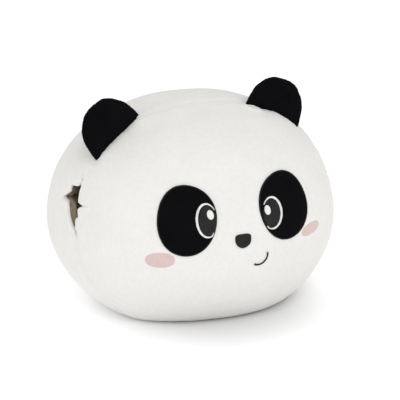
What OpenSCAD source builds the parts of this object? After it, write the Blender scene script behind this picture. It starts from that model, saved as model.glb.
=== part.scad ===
// Round plush panda cushion with a fleece-lined tunnel for the hands.
// The front and back panels meet in one seam that runs over the crown, through both
// ears and both hand openings, and under the body. +Z is up and the face looks along -Y.

/* [Body] */
// Width from one hand opening to the other
body_width = 340; // [320:1:360]
// Depth from the face to the back
body_depth = 303; // [285:1:320]
// Height from the resting face to the crown
body_height = 244; // [232:1:256]
// Height of the widest line above the resting face
equator_height = 104.4; // [98:0.2:110]
// How far the underside would hang below the resting face if nothing flattened it
underside_sag = 38.2; // [30:0.2:44]
// Roundness of the plan outline, where 2 is an ellipse
plan_power = 2.2; // [2:0.05:2.5]
// Roundness of the side outline, where 2 is an ellipse
side_power = 2.08; // [2:0.02:2.3]
// Thickness of the body fabric
fabric = 1.6; // [1.2:0.1:2.4]
// Clearance between a fabric and what lies under it
ease = 0.4; // [0.3:0.05:0.6]

/* [Seam] */
// Depth of the seam plane at the height of the hand openings
seam_y = -42; // [-48:0.5:-36]
// Backward lean of the seam plane in degrees
seam_lean = 9.09; // [6:0.01:12]
// Diameter of the seam thread
seam_thread_d = 0.6; // [0.4:0.1:0.8]

/* [Hand tunnel] */
// Height of the tunnel above the resting face
tunnel_height = 140.4; // [136:0.2:146]
// Inside diameter of the relaxed tunnel
tunnel_bore = 48; // [44:1:52]
// Thickness of the fleece liner
liner_thickness = 1.2; // [1:0.1:1.8]
// Diameter of the turned hem round each mouth
hem_d = 4; // [3.4:0.1:4.4]
// Diameter of the elastic cord inside each hem
elastic_d = 1.6; // [1.2:0.1:1.8]

/* [Ears] */
// Height of an ear above its sewn edge
ear_height = 46; // [40:0.5:50]
// Greatest thickness of an ear
ear_thickness = 22; // [16:0.5:24]
// Thickness of an ear along its sewn edge
ear_edge = 2.4; // [2:0.1:3]
// Thickness of the ear fabric
ear_fabric = 0.9; // [0.6:0.05:1]
// Seam angles of the outer and inner corners of the right ear, measured up from the side of the body
right_ear_angles = [33.3, 59.6];
// Seam angles of the outer and inner corners of the left ear
left_ear_angles = [37.1, 65.8];
// Outward lean of an ear's outline, as a share of its height
ear_lean = 0.1; // [0:0.01:0.16]
// Gap between the sewn edge of an ear and the crown
ear_gap = 1.6; // [1.5:0.1:2]

/* [Eyes] */
// Half width and half height of the right eye patch
right_patch_size = [31.9, 38.9];
// Half width and half height of the left eye patch
left_patch_size = [32.4, 37.8];
// Place of the right eye patch, across and up
right_patch = [-61.4, 137.5];
// Place of the left eye patch, across and up
left_patch = [58.3, 140.8];
// Outward lean of the lower end of the right patch in degrees
right_patch_lean = 14; // [8:1:20]
// Outward lean of the lower end of the left patch in degrees
left_patch_lean = 19; // [10:1:22]
// Half width and half height of an iris
iris_size = [10.6, 16.2];
// Distance of an iris from the centre line
iris_x = 39; // [37:0.5:41]
// Height of the irises above the resting face
iris_z = 138; // [136:0.5:142]
// Greatest width of the outline round an iris
outline_width = 3; // [2:0.1:3.4]
// Gap between an iris and its outline
outline_gap = 0.6; // [0.4:0.1:1]
// Half width and half height of a glint
glint_size = [4.3, 5.4];
// Distance of a glint from the centre line
glint_x = 34.5; // [33:0.5:36]
// Height of the glints above the resting face
glint_z = 143.5; // [141:0.5:146]

/* [Nose, mouth and cheeks] */
// Half width of the nose
nose_half_width = 9.8; // [9:0.1:11]
// Height of the nose above its widest level, and depth below it
nose_heights = [5.7, 10.7];
// Place of the middle of the nose at its widest level, across and up
nose_place = [1.5, 113.5];
// Centre of the mouth's curve, across and up
mouth_centre = [21.5, 90.5];
// Radius of the mouth's curve
mouth_radius = 11.2; // [10:0.2:12.5]
// Width of the mouth's stitching
mouth_width = 2; // [1.6:0.1:2.6]
// Half width and half height of the right cheek
right_cheek_size = [16.4, 9.9];
// Half width and half height of the left cheek
left_cheek_size = [15.6, 7.6];
// Place of the right cheek, across and up
right_cheek = [-91.5, 94];
// Place of the left cheek, across and up
left_cheek = [95.5, 106.5];

/* [Hidden] */

half_width = body_width / 2;
half_depth = body_depth / 2;
crown_rise = body_height - equator_height;
underside_drop = equator_height + underside_sag;
// The point inside the body that every panel is laid out from, on the seam plane
core_z = equator_height;
core = [0, seam_y - tan(seam_lean) * (tunnel_height - core_z), core_z];
seam_up = [0, sin(seam_lean), cos(seam_lean)];
seam_front = [0, -cos(seam_lean), sin(seam_lean)];
// Facets of the body: steps round the seam and steps from the seam to the pole of a panel
round_steps = 48;
cup_steps = 9;
// Half the angle between the edges of the two panels, seen from the core
seam_half_angle = 0.2;
liner_r = tunnel_bore / 2 + liner_thickness;
hem_path_r = liner_r + 0.2 + hem_d / 2;
mouth_hole_r = hem_path_r + hem_d / 2 + 0.25;
// How far in from the widest line the hollow for the hems reaches
hem_room_x = 131;
ear_half = ear_thickness / 2;
ear_edge_half = ear_edge / 2;
ear_centre_share = 0.42;
patch_low = 0.3;
patch_high = 1.3;
far = 400;
white_pile = [0.93, 0.92, 0.9];
black_pile = [0.07, 0.07, 0.07];
grey_thread = [0.2, 0.2, 0.2];
pink_pile = [0.9, 0.8, 0.8];
beige_fleece = [0.78, 0.68, 0.56];

// ---- shape of the body ----

// Value of the body's shape at a point: 1 on the skin moved out by grow
function level(p, grow) =
    let (rise = p.z - equator_height,
         half_height = (rise > 0 ? crown_rise : underside_drop) + grow,
         across = pow(abs(p.x) / (half_width + grow), plan_power),
         deep = pow(abs(p.y) / (half_depth + grow), plan_power))
    pow(across + deep, side_power / plan_power) + pow(abs(rise) / half_height, side_power);

// Distance from the core to the skin along a direction, found by halving
function reach(dir, grow, low = 0, high = far, steps = 26) =
    steps == 0 ? (low + high) / 2 :
    let (middle = (low + high) / 2)
    level(core + middle * dir, grow) < 1 ? reach(dir, grow, middle, high, steps - 1)
                                         : reach(dir, grow, low, middle, steps - 1);

// The same distance, stopped at the height floor_z
function reach_to_floor(dir, grow, floor_z) =
    dir.z < -0.001 ? min(reach(dir, grow), (core_z - floor_z) / -dir.z) : reach(dir, grow);

// Direction from the core: round is the angle along the seam, out is the angle in front of it
function seam_dir(round, out) =
    cos(out) * (cos(round) * [1, 0, 0] + sin(round) * seam_up) + sin(out) * seam_front;

// A point of the skin along such a direction
function skin(round, out, grow) = core + reach(seam_dir(round, out), grow) * seam_dir(round, out);
function skin_above(round, out, grow, floor_z) =
    core + reach_to_floor(seam_dir(round, out), grow, floor_z) * seam_dir(round, out);

// How far out the plan outline is at a height, as a power, for the two closed forms below
function plan_share(z, grow) =
    let (rise = z - equator_height, half_height = (rise > 0 ? crown_rise : underside_drop) + grow)
    pow(1 - pow(abs(rise) / half_height, side_power), plan_power / side_power);

// A point of the face at x and z, and a point of a side at y and z
function face_point(x, z, grow) =
    [x, -(half_depth + grow) * pow(plan_share(z, grow) - pow(abs(x) / (half_width + grow), plan_power),
                                   1 / plan_power), z];
function side_point(y, z, grow) =
    [(half_width + grow) * pow(plan_share(z, grow) - pow(abs(y) / (half_depth + grow), plan_power),
                               1 / plan_power), y, z];

// ---- solids from rings of points ----

function reversed(list) = [for (i = [len(list) - 1 : -1 : 0]) list[i]];

// A closed solid from a first point, rings with the same number of points, and a last point
module loft(first, rings, last) {
    n = len(rings[0]);
    count = len(rings);
    end = count * n + 1;
    polyhedron(
        points = concat([first], [for (ring = rings) each ring], [last]),
        faces = concat(
            [for (i = [0 : n - 1]) [0, 1 + i, 1 + (i + 1) % n]],
            [for (k = [0 : count - 2]) for (i = [0 : n - 1]) let (a = 1 + k * n, b = a + n, j = (i + 1) % n)
                each [[a + i, b + i, b + j], [a + i, b + j, a + j]]],
            [for (i = [0 : n - 1]) [end, end - n + (i + 1) % n, end - n + i]]));
}

// A closed ring-shaped solid from sections that follow one another round a loop
module loop(sections) {
    n = len(sections[0]);
    count = len(sections);
    polyhedron(
        points = [for (section = sections) each section],
        faces = [for (k = [0 : count - 1]) for (i = [0 : n - 1])
            let (a = k * n, b = ((k + 1) % count) * n, j = (i + 1) % n)
                each [[a + i, b + i, b + j], [a + i, b + j, a + j]]]);
}

// Average of a list of points
function middle_of(points) = [for (axis = [0 : 2]) let (values = [for (p = points) p[axis]])
    values * [for (v = values) 1] / len(points)];

// A bar through sections, closed at both ends
module bar(sections) loft(middle_of(sections[0]), sections, middle_of(sections[len(sections) - 1]));

// Puts a piece on the left side, which is +X, or mirrors it to the right side
module on_side(side) mirror([side == "right" ? 1 : 0, 0, 0]) children();

// ---- body ----

// Angles of the rings from the seam to the pole of a panel, without the pole
cup_angles = [seam_half_angle, for (k = [1 : cup_steps - 1]) 90 * k / cup_steps];

// The cup of one panel; front is 1 for the front panel and -1 for the back
module panel_cup(front) {
    inner = [for (out = cup_angles) [for (i = [0 : round_steps - 1])
        skin_above(360 * i / round_steps, front * out, -fabric, fabric)]];
    outer = [for (out = cup_angles) [for (i = [0 : round_steps - 1])
        skin(360 * i / round_steps, front * out, 0)]];
    rings = concat(reversed(inner), outer);
    loft(skin(0, front * 90, -fabric), [for (ring = rings) front > 0 ? ring : reversed(ring)],
         skin(0, front * 90, 0));
}

// A rod along the tunnel, from x0 to x1
module tunnel_rod(r, x0 = -far / 2, x1 = far / 2)
    translate([x0, seam_y, tunnel_height]) rotate([0, 90, 0]) cylinder(r = r, h = x1 - x0, $fn = 96);

module below_floor() translate([-far / 2, -far / 2, -far / 2]) cube([far, far, far / 2]);

module panel(front) {
    difference() {
        panel_cup(front);
        tunnel_rod(mouth_hole_r);
        below_floor();
    }
}

module front_panel() color(white_pile) panel(1);
module back_panel() color(white_pile) panel(-1);

// The whole body, moved out by grow and flat at floor_z
module body_solid(grow, floor_z) {
    outs = concat(-reversed(cup_angles), cup_angles);
    loft(skin(0, -90, grow),
         [for (out = outs) [for (i = [0 : round_steps - 1])
             skin_above(-360 * i / round_steps, out, grow, floor_z)]],
         skin(0, 90, grow));
}

module filling() {
    gap = fabric + ease;
    color("white") difference() {
        body_solid(-gap, gap);
        tunnel_rod(liner_r + 0.3);
        tunnel_rod(mouth_hole_r + 0.2, hem_room_x, far / 2);
        tunnel_rod(mouth_hole_r + 0.2, -far / 2, -hem_room_x);
    }
}

// ---- hand tunnel ----

module hand_tunnel_liner() {
    color(beige_fleece) intersection() {
        difference() {
            tunnel_rod(liner_r);
            tunnel_rod(tunnel_bore / 2, -far / 2 - 1, far / 2 + 1);
        }
        body_solid(-1, 1);
    }
}

// Sections round a mouth: each point of profile is [outwards from the tunnel's axis, along the tunnel]
function mouth_sections(profile, sink) = [for (i = [0 : 23])
    let (turn = 15 * i,
         away = [0, cos(turn), sin(turn)],
         on_skin = side_point(seam_y + hem_path_r * cos(turn), tunnel_height + hem_path_r * sin(turn), 0))
    [for (p = profile) on_skin - [sink, 0, 0] + p.x * away + [p.y, 0, 0]]];

function arc_points(r, from, to, steps) =
    [for (i = [0 : steps]) let (a = from + (to - from) * i / steps) r * [sin(a), cos(a)]];

// A hem is a fold of fabric, open on its hidden side, round the elastic
hem_profile = concat(arc_points(hem_d / 2, -150, 150, 7), arc_points(elastic_d / 2 + 0.35, 150, -150, 5));
hem_sink = hem_d / 2 - 0.6;

module cuff_hem(side) color(white_pile) on_side(side) loop(mouth_sections(hem_profile, hem_sink));
module cuff_elastic(side) {
    circle_points = arc_points(elastic_d / 2, 0, 300, 5);
    color(white_pile) on_side(side) loop(mouth_sections(circle_points, hem_sink));
}
module cuff_hem_right() cuff_hem("right");
module cuff_hem_left() cuff_hem("left");
module cuff_elastic_right() cuff_elastic("right");
module cuff_elastic_left() cuff_elastic("left");

// ---- seam ----

// A thread in the gap between the panels, from one seam angle to another
module seam_thread(from, to) {
    steps = ceil((to - from) / 4);
    half_angle = asin(seam_thread_d / 2 / half_width) * 0.8;
    bar([for (i = [0 : steps]) let (round = from + (to - from) * i / steps)
        [skin_above(round, half_angle, -1.5, 0.8), skin_above(round, half_angle, 0, 0.2),
         skin_above(round, -half_angle, 0, 0.2), skin_above(round, -half_angle, -1.5, 0.8)]]);
}

// The stretches of the seam between the two hand openings
mouth_angle = asin((tunnel_height - core_z) / half_width);
mouth_half_angle = 13.5;
module main_seam_thread() {
    color("white") {
        seam_thread(mouth_angle + mouth_half_angle, 180 - mouth_angle - mouth_half_angle);
        seam_thread(180 - mouth_angle + mouth_half_angle, 360 + mouth_angle - mouth_half_angle);
    }
}

// Puts a piece on the left stretch of the seam: x points out of the body, y to the back, z along the seam
module on_left_seam(round, lift, tilt)
    translate(core) rotate([-seam_lean, 0, 0]) rotate([0, -round, 0])
        translate([reach(seam_dir(round, 0), 0) + lift, 0, 0]) rotate([0, tilt, -left_side_turn]) children();

// How far the left side is turned towards the face where the seam crosses it
left_side_turn = 20;

// Hand-sewn stitches that close the seam after filling, low on the left side
stitch_count = 11;
stitch_length = 5;
stitch_r = 0.35;
closing_from = 340;
closing_to = 356;
module closing_stitches() {
    color("white")
        for (i = [0 : stitch_count - 1])
            on_left_seam(closing_from + (closing_to - closing_from) * i / (stitch_count - 1), 0.9, 0)
                translate([0, -stitch_length / 2, 0]) rotate([-90, 0, 0])
                    cylinder(r = stitch_r, h = stitch_length, $fn = 24);
}

// A blank folded label, caught in the seam below the closing stitches
label_size = [0.8, 32, 22];
label_round = 333;
label_tilt = 8;
module care_label() {
    color("white") on_left_seam(label_round, 1, label_tilt)
        translate([0, 0.5, -label_size.z / 2]) cube(label_size);
}

// ---- face ----

// Outline of an oval round [0, 0], turned by lean, and a little wider at the top
function oval(size, lean = 0, power = 2, top_share = 0, steps = 36) =
    [for (i = [0 : steps - 1])
        let (a = 360 * i / steps,
             x = size.x * sign(cos(a)) * pow(abs(cos(a)), 2 / power) * (1 + top_share * sin(a)),
             z = size.y * sign(sin(a)) * pow(abs(sin(a)), 2 / power))
        [x * cos(lean) - z * sin(lean), x * sin(lean) + z * cos(lean)]];

// A thin piece on the face with the given outline, between two heights above the skin
module on_face(place, outline, low, high) {
    function ring(share, grow) = [for (p = outline) face_point(place.x + share * p.x, place.y + share * p.y, grow)];
    loft(face_point(place.x, place.y, low),
         [ring(0.33, low), ring(0.67, low), ring(1, low), ring(1, high - 0.35), ring(0.96, high),
          ring(0.67, high), ring(0.33, high)],
         face_point(place.x, place.y, high));
}

patch_power = 2.12;
patch_top_share = 0.035;
function patch_place(side) = side == "right" ? right_patch : left_patch;
// The right patch leans the other way from the left one
function patch_outline(side, shrink = 0) =
    oval((side == "right" ? right_patch_size : left_patch_size) - [shrink, shrink],
         side == "right" ? -right_patch_lean : left_patch_lean, patch_power, patch_top_share);
function side_sign(side) = side == "right" ? -1 : 1;

module eye_patch(side) color(black_pile) on_face(patch_place(side), patch_outline(side), patch_low, patch_high);

// What lies over the patch of one side, as a block through the face
module patch_block(side) {
    place = patch_place(side);
    translate([place.x, -60, place.y]) rotate([90, 0, 0])
        linear_extrude(height = half_depth) polygon(patch_outline(side, 0.6));
}

module iris(side) {
    color(grey_thread) intersection() {
        on_face([side_sign(side) * iris_x, iris_z], oval(iris_size), patch_high + 0.2, patch_high + 0.9);
        patch_block(side);
    }
}

// The outline is a curved bar round the iris, open towards the nose and thin at its ends
outline_turn = 130;
outline_steps = 17;
module iris_outline(side) {
    low = patch_high + 0.2;
    high = patch_high + 1.1;
    function edge(a, out) =
        let (size = iris_size + [outline_gap + out, outline_gap + out])
        [side_sign(side) * (iris_x + size.x * cos(a)), iris_z + size.y * sin(a)];
    color("white") intersection() {
        bar([for (i = [-outline_steps : outline_steps])
            let (share = i / outline_steps,
                 a = outline_turn * share,
                 outer = edge(a, outline_width * (1 - 0.75 * share * share)),
                 inner = edge(a, 0))
            [face_point(outer.x, outer.y, low), face_point(outer.x, outer.y, high),
             face_point(inner.x, inner.y, high), face_point(inner.x, inner.y, low)]]);
        patch_block(side);
    }
}

module eye_glint(side) {
    color("white")
        on_face([side_sign(side) * glint_x, glint_z], oval(glint_size, steps = 20),
                patch_high + 1.1, patch_high + 1.9);
}

// The nose has a flat top and a rounded lower edge
nose_powers = [3.4, 2];
module nose() {
    outline = [for (i = [0 : 35])
        let (a = 10 * i, half = sin(a) > 0 ? 0 : 1, share = 2 / nose_powers[half])
        [nose_half_width * sign(cos(a)) * pow(abs(cos(a)), share),
         nose_heights[half] * sign(sin(a)) * pow(abs(sin(a)), share)]];
    color(grey_thread) on_face(nose_place, outline, patch_low, 1.7);
}

// The mouth is one short curve of satin stitch beside the nose
module mouth() {
    steps = 22;
    color(grey_thread) bar([for (i = [0 : steps])
        let (a = -118 + 130 * i / steps,
             place = mouth_centre + mouth_radius * [cos(a), sin(a)],
             half = mouth_width / 2 * [cos(a), sin(a)])
        [face_point(place.x + half.x, place.y + half.y, 0.2), face_point(place.x, place.y, 1.3),
         face_point(place.x - half.x, place.y - half.y, 0.2)]]);
}

module cheek(side) {
    right = side == "right";
    outline = oval(right ? right_cheek_size : left_cheek_size, right ? 0 : 8, 2.2, steps = 28);
    color(pink_pile) on_face(right ? right_cheek : left_cheek, outline, patch_low, 1);
}

module eye_patch_right() eye_patch("right");
module eye_patch_left() eye_patch("left");
module iris_right() iris("right");
module iris_left() iris("left");
module iris_outline_right() iris_outline("right");
module iris_outline_left() iris_outline("left");
module eye_glint_right() eye_glint("right");
module eye_glint_left() eye_glint("left");
module cheek_right() cheek("right");
module cheek_left() cheek("left");

// ---- ears ----

// A point of the seam on the skin, lifted by the ear's gap, at a seam angle
function ear_seat(round) = skin(round, 0, 0) + ear_gap * seam_dir(round, 0);
function ear_angles(side) = side == "right" ? right_ear_angles : left_ear_angles;
// Middle and half length of an ear's sewn edge, the direction from its inner to its outer corner, and the way up
function ear_frame(side) =
    let (outer = ear_seat(ear_angles(side)[0]), inner = ear_seat(ear_angles(side)[1]),
         length = norm(outer - inner), along = (outer - inner) / length, across = cross(along, seam_front))
    [(inner + outer) / 2, length / 2, along, sign(across.z) * across];
function ear_centre(side) =
    let (seat = ear_frame(side)) seat[0] + ear_centre_share * ear_height * seat[3];
ear_power = 2.4;
ear_arc_steps = 22;
ear_base_steps = 8;

// Outline of an ear in the seam plane: a rounded arch, then the edge that follows the crown
function ear_outline(side) =
    let (seat = ear_frame(side), angles = ear_angles(side))
    concat(
        [for (i = [0 : ear_arc_steps]) let (a = 180 * i / ear_arc_steps)
            seat[0] + seat[1] * sign(cos(a)) * pow(abs(cos(a)), 2 / ear_power) * seat[2]
                    + ear_height * pow(abs(sin(a)), 2 / ear_power) * (seat[3] + ear_lean * seat[2])],
        [for (i = [1 : ear_base_steps - 1])
            ear_seat(angles[1] + (angles[0] - angles[1]) * i / ear_base_steps)]);

// Half thickness of the pad at a share of the way from its centre to its rim
function ear_swell(share) =
    ear_edge_half + (ear_half - ear_edge_half) * pow(1 - share * share, 0.9);
function ear_ring(outline, centre, share, height) =
    [for (p = outline) centre + share * (p - centre) + height * seam_front];
ear_shares = [0.25, 0.5, 0.7, 0.85, 0.94, 1];
ear_seam_half_gap = 0.15;

// One cover of an ear: front is 1 for the front cover and -1 for the back cover
module ear_cover(side, front) {
    outline = ear_outline(side);
    centre = ear_centre(side);
    inner = [for (share = ear_shares)
        ear_ring(outline, centre, share, front * max(ear_swell(share) - ear_fabric, ear_seam_half_gap))];
    outer = [for (share = ear_shares) ear_ring(outline, centre, share, front * ear_swell(share))];
    rings = concat(inner, reversed(outer));
    color(black_pile) on_side(side)
        loft(centre + front * (ear_swell(0) - ear_fabric) * seam_front,
             [for (ring = rings) front > 0 ? reversed(ring) : ring],
             centre + front * ear_swell(0) * seam_front);
}

module ear_filling(side) {
    outline = ear_outline(side);
    centre = ear_centre(side);
    shares = [0.25, 0.5, 0.7, 0.85, 0.92];
    loose = ear_fabric + 0.3;
    rings = concat([for (share = shares) ear_ring(outline, centre, share, ear_swell(share) - loose)],
                   [for (share = reversed(shares)) ear_ring(outline, centre, share, loose - ear_swell(share))]);
    color("white") on_side(side)
        loft(centre + (ear_swell(0) - loose) * seam_front, rings,
             centre - (ear_swell(0) - loose) * seam_front);
}

module ear_right_front() ear_cover("right", 1);
module ear_right_back() ear_cover("right", -1);
module ear_right_filling() ear_filling("right");
module ear_left_front() ear_cover("left", 1);
module ear_left_back() ear_cover("left", -1);
module ear_left_filling() ear_filling("left");

front_panel();
back_panel();
filling();
hand_tunnel_liner();
cuff_hem_right();
cuff_hem_left();
cuff_elastic_right();
cuff_elastic_left();
main_seam_thread();
closing_stitches();
care_label();
eye_patch_right();
eye_patch_left();
iris_right();
iris_left();
iris_outline_right();
iris_outline_left();
eye_glint_right();
eye_glint_left();
nose();
mouth();
cheek_right();
cheek_left();
ear_right_front();
ear_right_back();
ear_right_filling();
ear_left_front();
ear_left_back();
ear_left_filling();
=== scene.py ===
"""The looks of a round plush panda cushion with a hand tunnel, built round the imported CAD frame.

Lengths are in metres. +Z is up and the face looks along -Y, so the panda's right side is -X.
"""
import math

import bpy
import numpy as np
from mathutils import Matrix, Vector


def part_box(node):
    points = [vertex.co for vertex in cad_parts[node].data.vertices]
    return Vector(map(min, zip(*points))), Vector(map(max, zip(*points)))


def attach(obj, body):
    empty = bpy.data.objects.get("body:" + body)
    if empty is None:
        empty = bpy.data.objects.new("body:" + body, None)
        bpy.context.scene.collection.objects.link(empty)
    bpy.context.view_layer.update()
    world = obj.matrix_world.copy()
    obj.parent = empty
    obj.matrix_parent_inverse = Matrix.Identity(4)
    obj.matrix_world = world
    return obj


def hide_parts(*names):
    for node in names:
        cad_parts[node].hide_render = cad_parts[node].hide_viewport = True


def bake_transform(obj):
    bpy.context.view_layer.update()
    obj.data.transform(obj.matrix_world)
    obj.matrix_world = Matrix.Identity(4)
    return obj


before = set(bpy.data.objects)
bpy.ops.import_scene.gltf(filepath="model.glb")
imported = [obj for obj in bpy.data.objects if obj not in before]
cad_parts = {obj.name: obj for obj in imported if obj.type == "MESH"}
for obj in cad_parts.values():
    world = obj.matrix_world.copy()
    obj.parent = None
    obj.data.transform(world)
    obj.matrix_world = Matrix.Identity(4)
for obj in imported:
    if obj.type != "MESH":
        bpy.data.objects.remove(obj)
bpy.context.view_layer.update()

MM = 0.001
rng = np.random.default_rng(20)

# ---- the body's shape, which repeats the CAD design ----

HALF_WIDTH, HALF_DEPTH = 0.170, 0.1515
EQUATOR = 0.1044
CROWN_RISE, UNDERSIDE_DROP = 0.1396, 0.1426
PLAN_POWER, SIDE_POWER = 2.2, 2.08
SEAM_LEAN = math.radians(9.09)
ACROSS = np.array([1.0, 0.0, 0.0])
SEAM_UP = np.array([0.0, math.sin(SEAM_LEAN), math.cos(SEAM_LEAN)])
SEAM_FRONT = np.array([0.0, -math.cos(SEAM_LEAN), math.sin(SEAM_LEAN)])
liner_low, liner_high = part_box("hand_tunnel_liner")
TUNNEL = np.array([0.0, (liner_low.y + liner_high.y) / 2, (liner_low.z + liner_high.z) / 2])
# The point on the seam plane that the seam's angles are measured from
CORE = TUNNEL - SEAM_UP * (TUNNEL[2] - EQUATOR) / SEAM_UP[2]


def unit(v):
    return v / np.linalg.norm(v, axis=-1, keepdims=True)


def level(p):
    """Value of the body's shape at points: 1 on the skin."""
    rise = p[..., 2] - EQUATOR
    half_height = np.where(rise > 0, CROWN_RISE, UNDERSIDE_DROP)
    plan = np.abs(p[..., 0] / HALF_WIDTH) ** PLAN_POWER + np.abs(p[..., 1] / HALF_DEPTH) ** PLAN_POWER
    return plan ** (SIDE_POWER / PLAN_POWER) + np.abs(rise / half_height) ** SIDE_POWER


def outward(p):
    """Unit normals of the body's shape at points near the skin."""
    x, y, rise = p[..., 0], p[..., 1], p[..., 2] - EQUATOR
    half_height = np.where(rise > 0, CROWN_RISE, UNDERSIDE_DROP)
    plan = np.abs(x / HALF_WIDTH) ** PLAN_POWER + np.abs(y / HALF_DEPTH) ** PLAN_POWER
    weight = (plan + 1e-6) ** (SIDE_POWER / PLAN_POWER - 1)
    gx = weight * np.sign(x) * np.abs(x / HALF_WIDTH) ** (PLAN_POWER - 1) / HALF_WIDTH
    gy = weight * np.sign(y) * np.abs(y / HALF_DEPTH) ** (PLAN_POWER - 1) / HALF_DEPTH
    gz = np.sign(rise) * np.abs(rise / half_height) ** (SIDE_POWER - 1) / half_height
    return unit(np.stack([gx, gy, gz], -1))


def cast(origin, direction):
    """Points where rays from inside the body meet its skin, found by halving."""
    low = np.zeros(direction.shape[:-1])
    high = np.full(direction.shape[:-1], 0.4)
    for _ in range(34):
        middle = (low + high) / 2
        inside = level(origin + direction * middle[..., None]) < 1
        low, high = np.where(inside, middle, low), np.where(inside, high, middle)
    return origin + direction * low[..., None]


def face_point(x, z):
    """Points of the skin on the face side at x and z."""
    rise = z - EQUATOR
    half_height = np.where(rise > 0, CROWN_RISE, UNDERSIDE_DROP)
    plan = (1 - np.abs(rise / half_height) ** SIDE_POWER) ** (PLAN_POWER / SIDE_POWER)
    y = -HALF_DEPTH * (plan - np.abs(x / HALF_WIDTH) ** PLAN_POWER) ** (1 / PLAN_POWER)
    return np.stack([x + 0 * z, y, z + 0 * x], -1)


def seam_direction(angle):
    """Unit vectors in the seam plane; the angle is measured up from the left side."""
    return np.cos(angle)[..., None] * ACROSS + np.sin(angle)[..., None] * SEAM_UP


def bell(x, width):
    return np.exp(-((x / width) ** 2))


def squared(wave, power):
    """A sine or cosine reshaped to give an oval squarer shoulders: a power of 2 changes nothing."""
    return np.sign(wave) * np.abs(wave) ** (2 / power)


def turn_between(a, b):
    """Smallest angle from b to a."""
    return (a - b + np.pi) % (2 * np.pi) - np.pi


# ---- relief: how far the sewn and stuffed skin stands off the plain shape ----

# Slow unevenness of the stuffing: waves across the body in fixed random directions
LUMPS = [
    (unit(rng.normal(size=3)) * 2 * np.pi / length, rng.uniform(0, 2 * np.pi), height)
    for length, height in [(0.17, 0.5), (0.13, 0.4), (0.1, 0.35), (0.075, 0.2), (0.05, 0.1), (0.034, 0.06)]
    for _ in range(2)
]
# Gathers along the main seam: wavelength and height
SEAM_GATHERS = [
    (length, height, rng.uniform(0, 2 * np.pi))
    for length, height in [(0.0065, 0.1), (0.0098, 0.15), (0.0152, 0.2), (0.027, 0.2)]
]
# Seam angles of each ear's outer and inner corners, measured up from the side of the body
EAR_ANGLES = {-1: np.radians([33.3, 59.6]), 1: np.radians([38.1, 65.6])}
SEAM_GROOVE = 0.8 * MM


def lumps(p):
    return sum(height * MM * np.sin(p @ wave + phase) for wave, phase, height in LUMPS)


def seam_relief(p):
    off = (p - CORE) @ SEAM_FRONT
    along = np.arctan2((p - CORE) @ SEAM_UP, p[..., 0]) * 0.15
    gathers = sum(h * MM * np.sin(2 * np.pi * along / length + phase) for length, h, phase in SEAM_GATHERS)
    groove = -SEAM_GROOVE * np.exp(-np.abs(off) / (4 * MM))
    shoulder = 0.5 * MM * bell(np.abs(off) - 10 * MM, 8 * MM)
    return groove + shoulder + gathers * bell(off, 9 * MM)


# Outer and inner corner of the right ear, then of the left ear
EAR_CORNERS = [
    corner * [side, 1, 1]
    for side in (-1, 1)
    for corner in cast(CORE, seam_direction(EAR_ANGLES[side]))
]
# How far the skin stands up at each corner, and how wide that spreads
EAR_PULLS = [(-1.5 * MM, 9 * MM), (3.5 * MM, 13 * MM), (-1.5 * MM, 9 * MM), (-1.5 * MM, 9 * MM)]


def ear_relief(p):
    """Dips where the skin is drawn in at the ears' corners, and folds where it is drawn up."""
    pull = 0
    for corner, (height, width) in zip(EAR_CORNERS, EAR_PULLS):
        pull = pull + height * bell(np.linalg.norm(p - corner, axis=-1), width)
    # the pad of the left ear presses into the skin beside its inner corner
    pressed = 0.78 * EAR_CORNERS[3] + 0.22 * EAR_CORNERS[2] + 3 * MM * SEAM_FRONT
    pull = pull - 2.6 * MM * bell(np.linalg.norm(p - pressed, axis=-1), 13 * MM)
    # a soft fold in front of the inner corner of the left ear
    middle = EAR_CORNERS[3] + 13 * MM * SEAM_FRONT + 4 * MM * ACROSS
    away = np.linalg.norm(p - middle, axis=-1)
    below = 0.5 - 0.5 * np.tanh(((p - middle) @ SEAM_UP + 1 * MM) / (3 * MM))
    return pull + 1.5 * MM * bell(away - 10 * MM, 3.5 * MM) * below


# Corners of the gathered edge of each opening, from the tunnel's axis towards the face and up, in millimetres
OPENING_CORNERS = {
    -1: [(-2.5, 29), (-0.5, 17), (0, 10.3), (1.8, 3.7), (14, 0.2), (4.2, -3.2), (3, -5.6), (8, -12.6),
         (1.2, -15.4), (1.6, -23), (3.4, -31), (-5.5, -25), (-9.5, -18.5), (-13, -12.3), (-16, -5),
         (-19, 0.8), (-30, 5.6), (-19, 13.5), (-19.5, 21.6), (-7, 22)],
    1: [(1.5, 30), (3, 19), (9.5, 21.5), (7.5, 12), (10.5, 4), (20.5, 1.5), (9.5, -4), (7.5, -12),
        (8.5, -19), (2.5, -20), (-2.5, -31), (-3.5, -18), (-12, -15.5), (-8.5, -8), (-9.5, 0),
        (-18.5, 6.5), (-8, 9), (-6.5, 17)],
}
# Creases that run on from the corners of each opening: where each starts, where it fades out, and its depth
OPENING_CREASES = {
    -1: [(-2.5, 28, -14, 38, 3.6), (-30, 5.6, -38, 7, 2), (3.4, -30, 7, -38, 1.6), (14, 0.2, 19, 2, 1.5),
         (-19.5, 21.2, -26, 26, 1.8)],
    1: [(1.5, 30, 6, 41, 3), (20.5, 1.5, 29, 3, 2.2), (9.5, 21.5, 15, 28, 2), (-2.5, -31, -7, -42, 2.2),
        (-18.5, 6.5, -27, 10, 2)],
}
# Distance along the tunnel from its middle to the plain skin at an opening
MOUTH_REACH = 0.1635


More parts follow.
